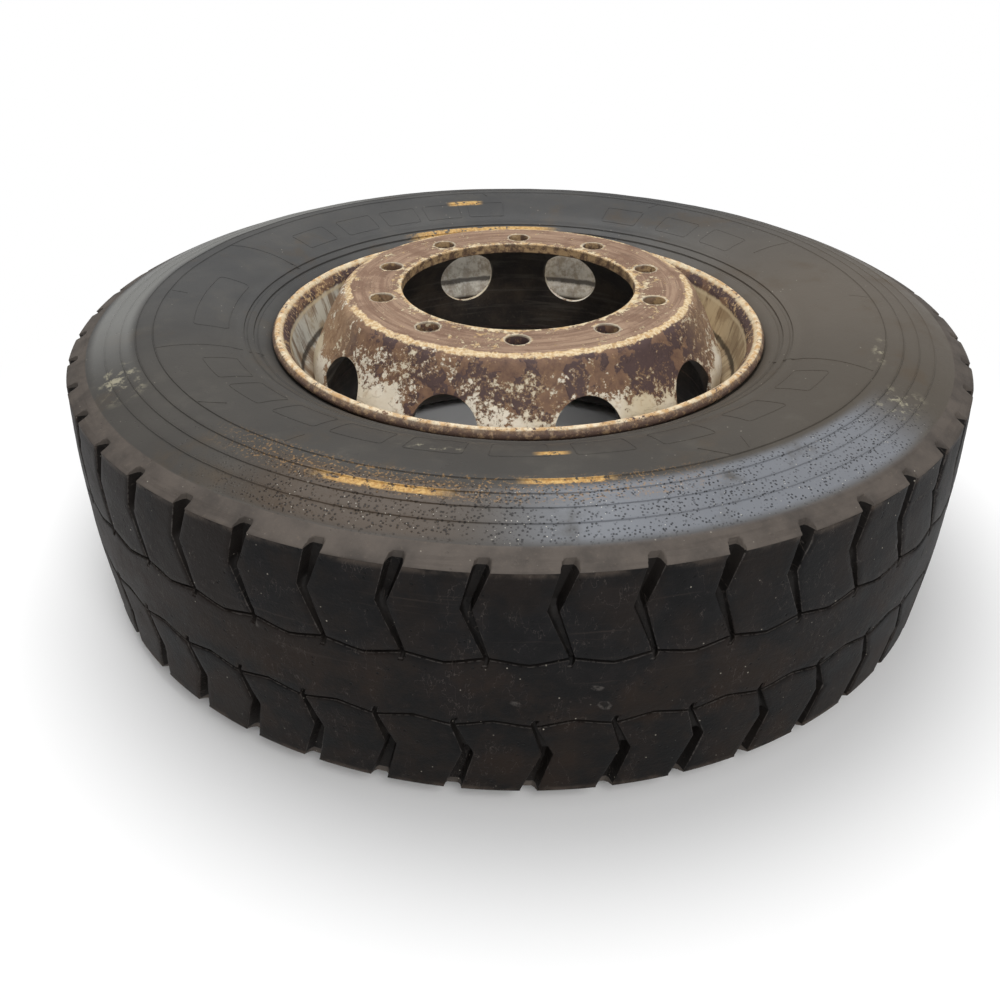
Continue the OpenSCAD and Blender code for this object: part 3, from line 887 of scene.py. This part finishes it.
def build_marks(mat):
    skin = Skin()
    for mark in MOULD_LINES:
        ribbon(skin, *line(*mark), 1.3, 0.55)
    for k in range(6):
        ribbon(skin, *line(404, 60 * k + 1, 424, 60 * k), 1.0, 0.4)
    panel_outline(skin, 346, 384, 171.5, 194.5, 7, 1.3, 0.5)
    for a in NAME_BLOCKS:
        panel_outline(skin, BLOCK_R[0], BLOCK_R[1], a - BLOCK_HALF, a + BLOCK_HALF, 4, 1.0, 0.42)
    return finish_mesh("tyre_marks", skin.points(), skin.faces, mat, sharp=30)


# ---- rim
WELL_IN, WELL_OUT = 254.3, 260.8
# height and radius of the line halfway through the rim band
MID_LINE = ([-131, -114.3, -75.3, -22.2, 58.8, 75.3, 114.3, 131],
            [287, 282.4, 271.9, 257.5, 257.5, 271.9, 282.4, 287])


def build_rim(mat):
    # one side's corners over the flange and down the seat, and how far each is rounded
    side = [(275.30, 75.3), (285.65, 114.2), (292.1, 114.2), (298.45, 121.4), (298.45, 124.84),
            (295.45, 129.3), (291.5, 131.3), (286.75, 128.8), (280.25, 119.3), (279.0, 114.3), (268.57, 75.3)]
    turn = [3, 3, 4, 2, 2, 2.5, 2.5, 2.5, 4, 3, 7]
    poly = side + [(WELL_IN, 58.8), (WELL_IN, -23.2)] + [(r, -z) for r, z in side[::-1]]
    poly += [(WELL_OUT, -21.2), (WELL_OUT, 58.8)]
    prof = densify(rounded(poly, turn + [7, 9] + turn[::-1] + [5, 5]), 5.0)
    n = 256
    az = circle(n)
    skin = Skin()
    rough = waves(26, 11)
    dent = waves(120, 12)
    rings = []
    for r, z in prof:
        base = ring_xyz(r, az, z + MID)
        hubward = 1.0 if r < np.interp(z, *MID_LINE) - 0.5 else 0.0
        amount = (0.22 * rough(base) + 0.25 * dent(base)) * hubward
        tip = 1.0 if z > 126 else 0.0
        drop = np.clip(0.3 * rough(base) + 0.2, 0, 1) * tip
        rings.append(skin.add(ring_xyz(r + amount, az, z + MID - drop)))
    skin.chain(rings + rings[:1])
    return finish_mesh("rim_band", skin.points(), skin.faces, mat, ["rim"], sharp=40)


# ---- disc
BORE_R, FACE_R, SKIRT_R = 140.5, 198.0, 254.2
DISC_T, SKIRT_T = 12.0, 7.0
SKIRT_LOW = 163.8
CONE = 0.57  # slope of the flank, outward per mm down
BOLTS = 10
BOLT_PCR, BOLT_HOLE = 167.5, 13.0
HAND_HOLE, HAND_Z = 39.0, 246.5
BOLT_AZ = np.radians(-90 + 36 * np.arange(BOLTS))
HAND_AZ = np.radians(-72 + 36 * np.arange(BOLTS))


def flank(face, top, skirt):
    """Rounded shoulder, cone and bend into the upright skirt: one side of the disc below its face."""
    def bend(a, b, c, n):
        t = np.linspace(0, 1, n)[:, None]
        return (1 - t) ** 2 * np.array(a) + 2 * t * (1 - t) * np.array(b) + t * t * np.array(c)

    low, foot, turn = FACE_Z - 62, FACE_Z - 95, top - (skirt - face - 13) / CONE
    shoulder = bend((face, top), (face + 13, top), (face + 13 + 10 * CONE, top - 10), 14)
    heel = bend((skirt - (low - turn) * CONE, low), (skirt, turn), (skirt, foot), 16)
    return np.vstack([shoulder, heel])


def disc_outer():
    pts = [(BORE_R, FACE_Z - 1.6), (BORE_R + 0.5, FACE_Z - 0.5), (BORE_R + 1.6, FACE_Z)]
    pts += [(r, FACE_Z) for r in (160, 180, 196)]
    pts += flank(FACE_R, FACE_Z, SKIRT_R).tolist()
    pts += [(SKIRT_R, SKIRT_LOW + 1.2), (SKIRT_R - 0.4, SKIRT_LOW + 0.3), (SKIRT_R - 1.2, SKIRT_LOW)]
    return np.array(pts)


def disc_inner():
    top, r1 = FACE_Z - DISC_T, SKIRT_R - SKIRT_T
    pts = [(BORE_R, top + 1.4), (BORE_R + 0.5, top + 0.4), (BORE_R + 1.4, top)]
    pts += [(r, top) for r in (160, 178, 189)]
    pts += flank(FACE_R - 8, top, r1).tolist()
    pts += [(r1, SKIRT_LOW + 1.0), (r1 + 0.8, SKIRT_LOW)]
    return np.array(pts)


class Sheet:
    """A surface of revolution with holes, triangulated in an unrolled ring.

    s is the distance along the profile from its first point at the bore.
    """

    def __init__(self, prof):
        self.prof = prof
        d = np.linalg.norm(np.diff(prof, axis=0), axis=1)
        self.s = np.concatenate([[0], np.cumsum(d)])

    def at(self, s):
        return np.interp(s, self.s, self.prof[:, 0]), np.interp(s, self.s, self.prof[:, 1])

    def s_of_r(self, r):
        k = int(np.argmax(self.prof[:, 0] >= FACE_R + 20))
        return np.interp(r, self.prof[:k, 0], self.s[:k])

    def s_of_z(self, z):
        k = 5  # the last point of the flat face
        return np.interp(-z, -self.prof[k:, 1], self.s[k:])

    def radius_at_z(self, z):
        return self.at(self.s_of_z(z))[0]

    def mesh(self, loops, spacing):
        """loops are the holes, as (azimuths, s).

        Returns points, faces, the indices of each loop, and those of the two edge rings.
        """
        xy, home, edges = [], [], []

        def place(a, v):
            xy.append(((BORE_R + v) * math.cos(a), (BORE_R + v) * math.sin(a)))
            home.append((a, v))

        def put(az, s):
            first = len(xy)
            for a, v in zip(az, s):
                place(a, v)
            ids = list(range(first, len(xy)))
            edges.extend(zip(ids, ids[1:] + ids[:1]))
            return ids

        n_edge = 240
        ring_az = circle(n_edge)
        edge_in = put(ring_az, np.zeros(n_edge))
        edge_out = put(ring_az, np.full(n_edge, float(self.s[-1])))
        index = [put(az, s) for az, s in loops]
        # rows of the profile's own corners near both ends, then an even spread
        own = [float(v) for v in self.s[1:3]] + [float(v) for v in self.s[-3:-1]]
        levels = [(v, n_edge) for v in own]
        lo, hi = own[1] + spacing, own[2] - spacing
        count = int((hi - lo) / spacing) + 1
        for v in np.linspace(lo, hi, count):
            r = float(self.at(v)[0])
            levels.append((float(v), int(TAU * r / spacing)))
        centres = []
        for az, s in loops:
            ref = az[0]
            a = ref + ((az - ref + math.pi) % TAU - math.pi)
            centres.append((a, s, a.mean(), s.mean()))
        for k, (v, n) in enumerate(levels):
            r = float(self.at(v)[0])
            a = circle(n) + (0.5 * TAU / n if k % 2 else 0)
            ok = np.ones(n, bool)
            for la, ls, ca, cs in centres:
                da = (a - ca + math.pi) % TAU - math.pi
                if abs(v - cs) > (ls.max() - ls.min()) / 2 + spacing:
                    continue
                # keep points clear of the loop, by its own reach at their angle about its middle
                x, y = da * r, v - cs
                loop_x, loop_y = (la - ca) * r, ls - cs
                angle, reach = np.arctan2(loop_y, loop_x), np.hypot(loop_x, loop_y)
                order = np.argsort(angle)
                lim = np.interp(np.arctan2(y, x), angle[order], reach[order], period=TAU)
                ok &= np.hypot(x, y) > lim + spacing * 0.45
            for q in a[ok]:
                place(q, v)
        res = delaunay_2d_cdt([Vector(p) for p in xy], edges, [], 0, 1e-6)
        tris, orig = res[2], res[3]
        to = [o[0] for o in orig]
        loop_of = {}
        for k, ids in enumerate([edge_in] + index):
            for i in ids:
                loop_of[i] = k
        faces = []
        for t in tris:
            q = [to[i] for i in t]
            g = [loop_of.get(i, -1) for i in q]
            if g[0] >= 0 and g[0] == g[1] == g[2]:
                continue
            faces.append(q)
        az = np.array([h[0] for h in home])
        r, z = self.at(np.array([h[1] for h in home]))
        return ring_xyz(r, az, z), faces, index, edge_in, edge_out


def bolt_point(k, ang, rad, z):
    """Points of a ring round bolt hole k at height z."""
    cx, cy = BOLT_PCR * math.cos(BOLT_AZ[k]), BOLT_PCR * math.sin(BOLT_AZ[k])
    return np.column_stack([cx + rad * np.cos(ang), cy + rad * np.sin(ang), np.full(len(ang), z)])


def hand_point(k, ang, rad, sheet, depth):
    """Points of a ring round hand hole k, as deep under the sheet as given."""
    y, z = rad * np.cos(ang), HAND_Z + rad * np.sin(ang)
    x = np.sqrt(sheet.radius_at_z(z) ** 2 - y * y) - depth
    c, s = math.cos(HAND_AZ[k]), math.sin(HAND_AZ[k])
    return np.column_stack([x * c - y * s, x * s + y * c, z])


def build_disc(mat):
    outer, inner = Sheet(disc_outer()), Sheet(disc_inner())
    soft = 1.3
    bolt_ang = circle(36)
    hand_ang = circle(72)

    def loops(sheet):
        got = []
        for k in range(BOLTS):
            p = bolt_point(k, bolt_ang, BOLT_HOLE + soft, 0)
            got.append((np.arctan2(p[:, 1], p[:, 0]), sheet.s_of_r(np.hypot(p[:, 0], p[:, 1]))))
        for k in range(BOLTS):
            p = hand_point(k, hand_ang, HAND_HOLE + soft, sheet, 0)
            got.append((np.arctan2(p[:, 1], p[:, 0]), sheet.s_of_z(p[:, 2])))
        return got

    skin = Skin()
    po, fo, lo, ei_o, eo_o = outer.mesh(loops(outer), 3.6)
    pi, fi, li, ei_i, eo_i = inner.mesh(loops(inner), 6.5)
    # relief on the flank only, not low on the skirt: shallow waves, scale and thinned patches
    pit, broad = waves(9, 21), waves(70, 22)
    on_flank = np.clip((FACE_Z - 2 - po[:, 2]) / 10, 0, 1)
    rr = np.hypot(po[:, 0], po[:, 1])
    away = np.where(po[:, 2] > SKIRT_LOW + 60, 1.0, 0.0)
    cut = (0.16 + 0.16 * pit(po) + 0.25 * np.clip(broad(po), -1, 1)) * on_flank * away
    po[:, :2] *= (1 - np.clip(cut, -0.05, 0.8) / rr)[:, None]
    io = skin.add(po)
    skin.faces += [[int(io[i]) for i in f] for f in fo]
    ii = skin.add(pi)
    skin.faces += [[int(ii[i]) for i in f[::-1]] for f in fi]
    skin.bridge(io[np.array(ei_o)], ii[np.array(ei_i)])
    skin.bridge(io[np.array(eo_o)], ii[np.array(eo_i)])

    def wall(k, rings):
        """The wall of hole k, between its loops in the two sheets."""
        skin.chain([io[np.array(lo[k])]] + [skin.add(pts) for pts in rings] + [ii[np.array(li[k])]])

    steps = [(BOLT_HOLE + 0.45, 0.35), (BOLT_HOLE, 1.3), (BOLT_HOLE, DISC_T - 1.3),
             (BOLT_HOLE + 0.45, DISC_T - 0.35)]
    for k in range(BOLTS):
        wall(k, [bolt_point(k, bolt_ang, rad, FACE_Z - down) for rad, down in steps])
    steps = [(HAND_HOLE + 0.45, outer, 0.45), (HAND_HOLE, outer, 1.4), (HAND_HOLE, inner, -1.4),
             (HAND_HOLE + 0.45, inner, -0.45)]
    for k in range(BOLTS):
        wall(BOLTS + k, [hand_point(k, hand_ang, *step) for step in steps])
    return finish_mesh("disc_dished", skin.points(), skin.faces, mat, ["disc"], sharp=35)


def build_weld(mat):
    low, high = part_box("weld")
    top, foot, wall = high.z / MM, low.z / MM, high.x / MM
    n = 560
    az = circle(n)
    wob = waves(30, 31)
    skin = Skin()
    base = ring_xyz(wall, az, foot)
    ripple = 0.5 + 0.5 * np.abs(np.sin(az * 75 + 0.8 * wob(base)))
    leg = (high.z - low.z) / MM
    swell = np.clip(0.86 + 0.12 * ripple + 0.04 * wob(base), 0, 1)
    # share of the leg outward and down, and whether the ripple moves the point
    prof = [(0.0, 0.0, 0), (0.0, 1.0, 0), (0.30, 0.93, 1), (0.58, 0.74, 1), (0.80, 0.50, 1),
            (0.94, 0.22, 1), (1.0, 0.0, 0)]
    rings = []
    for out, down, free in prof:
        k = swell if free else 1.0
        rings.append(skin.add(ring_xyz(wall - leg * out * k, az, top - leg * down * k)))
    skin.chain(rings + rings[:1])
    return finish_mesh("weld_bead", skin.points(), skin.faces, mat, ["weld"], sharp=50)


# ---- build
rubber = rubber_material()
build_tyre(rubber)
build_marks(rubber)
build_rim(rim_material())
build_disc(disc_material())
build_weld(weld_material())

# the valve's parts: material name, colours of metal and dirt, metallic, roughness, seed
fittings = {
    "valve_stem": ("old_brass", (150, 122, 70), (70, 56, 42), 0.9, 0.38, 80),
    "valve_nut": ("old_brass_nut", (142, 114, 66), (66, 52, 40), 0.9, 0.42, 82),
    "valve_washer": ("rusty_washer", (124, 92, 70), (72, 50, 40), 0.3, 0.6, 84),
    "valve_seal": ("seal_rubber", (44, 43, 42), (72, 62, 52), 0.0, 0.6, 86),
    "valve_cap": ("dusty_cap", (38, 38, 40), (84, 74, 62), 0.0, 0.5, 88),
}
for node, look in fittings.items():
    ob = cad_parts[node]
    ob.data.materials.clear()
    ob.data.materials.append(fitting(*look))

# ---- floor, light, camera
scene = bpy.context.scene
WHITE = (1, 1, 1, 1)


def shader_node(tree, kind, *vals):
    n = tree.nodes.new(kind)
    for i, v in enumerate(vals):
        n.inputs[i].default_value = v
    return n


def blend(tree, fac, first, second, out):
    """Sends two shader nodes, mixed by fac, to the output node."""
    n = tree.nodes.new("ShaderNodeMixShader")
    for i, sock in enumerate((fac, first.outputs[0], second.outputs[0])):
        tree.links.new(sock, n.inputs[i])
    tree.links.new(n.outputs[0], out.inputs[0])


def floor_material():
    """Pale floor that keeps the shadow near the tyre and is plain white to the camera further out."""
    m = Mat("pale_floor")
    m.t.nodes.remove(m.shader)
    dull = shader_node(m.t, "ShaderNodeBsdfDiffuse", (0.93, 0.93, 0.93, 1))
    glow = shader_node(m.t, "ShaderNodeEmission", WHITE, 1.0)
    path = m.t.nodes.new("ShaderNodeLightPath")
    seen = [path.outputs[k] for k in ("Is Glossy Ray", "Is Transmission Ray", "Is Camera Ray")]
    blend(m.t, m.mul(m.step(m.R, 0.66, 1.0), m.top(*seen)), dull, glow, m.out)
    return m.m


FLOOR_HALF, FLOOR_DROP = 16.0, 0.0005
floor_me = bpy.data.meshes.new("floor")
corners = [(x * FLOOR_HALF, y * FLOOR_HALF, 0) for x, y in ((-1, -1), (1, -1), (1, 1), (-1, 1))]
floor_me.from_pydata(corners, [], [(0, 1, 2, 3)])
floor = bpy.data.objects.new("floor", floor_me)
scene.collection.objects.link(floor)
floor_me.materials.append(floor_material())
floor.location.z = -FLOOR_DROP

world = bpy.data.worlds.new("studio")
scene.world = world
world.use_nodes = True
sky = world.node_tree
sky.nodes.clear()
# the camera sees white, the object is lit by less
blend(sky, sky.nodes.new("ShaderNodeLightPath").outputs["Is Camera Ray"],
      shader_node(sky, "ShaderNodeBackground", WHITE, 0.36),
      shader_node(sky, "ShaderNodeBackground", WHITE, 1.0),
      sky.nodes.new("ShaderNodeOutputWorld"))


def area(name, place, aim, size, power):
    data = bpy.data.lights.new(name, "AREA")
    data.shape = "DISK"
    data.size = size
    data.energy = power
    ob = bpy.data.objects.new(name, data)
    ob.location = place
    ob.rotation_euler = (Vector(aim) - Vector(place)).to_track_quat("-Z", "Y").to_euler()
    scene.collection.objects.link(ob)


area("overhead", (-0.3, 0.7, 3.0), (0, 0, 0.2), 2.4, 74)
area("front", (0.7, -2.5, 2.3), (0, -0.1, 0.2), 1.8, 50)

# the photo's camera, solved from the bolt circle, the flange and the shoulder; angles in radians
LENS_MM, SENSOR_MM = 35.68, 36.0
CAM_Y, CAM_ABOVE_FACE = -1.1508, 0.4382
PITCH_DOWN, YAW, ROLL = 0.57994, 0.018406, 0.002736
turn = Matrix.Rotation(YAW, 3, "Z")
right = turn @ Vector((1, 0, 0))
ahead = turn @ Vector((0, math.cos(PITCH_DOWN), -math.sin(PITCH_DOWN)))
above = turn @ Vector((0, math.sin(PITCH_DOWN), math.cos(PITCH_DOWN)))
side_v = math.cos(ROLL) * right + math.sin(ROLL) * above
top_v = -math.sin(ROLL) * right + math.cos(ROLL) * above
cam_data = bpy.data.cameras.new("camera")
cam_data.sensor_width = SENSOR_MM
cam_data.lens = LENS_MM
cam_data.clip_end = 60
cam = bpy.data.objects.new("camera", cam_data)
basis = Matrix((side_v, top_v, -ahead)).transposed()
cam.matrix_world = Matrix.Translation((0, CAM_Y, CAM_ABOVE_FACE + FACE_Z * MM)) @ basis.to_4x4()
scene.collection.objects.link(cam)
scene.camera = cam
scene.view_settings.view_transform = "Standard"
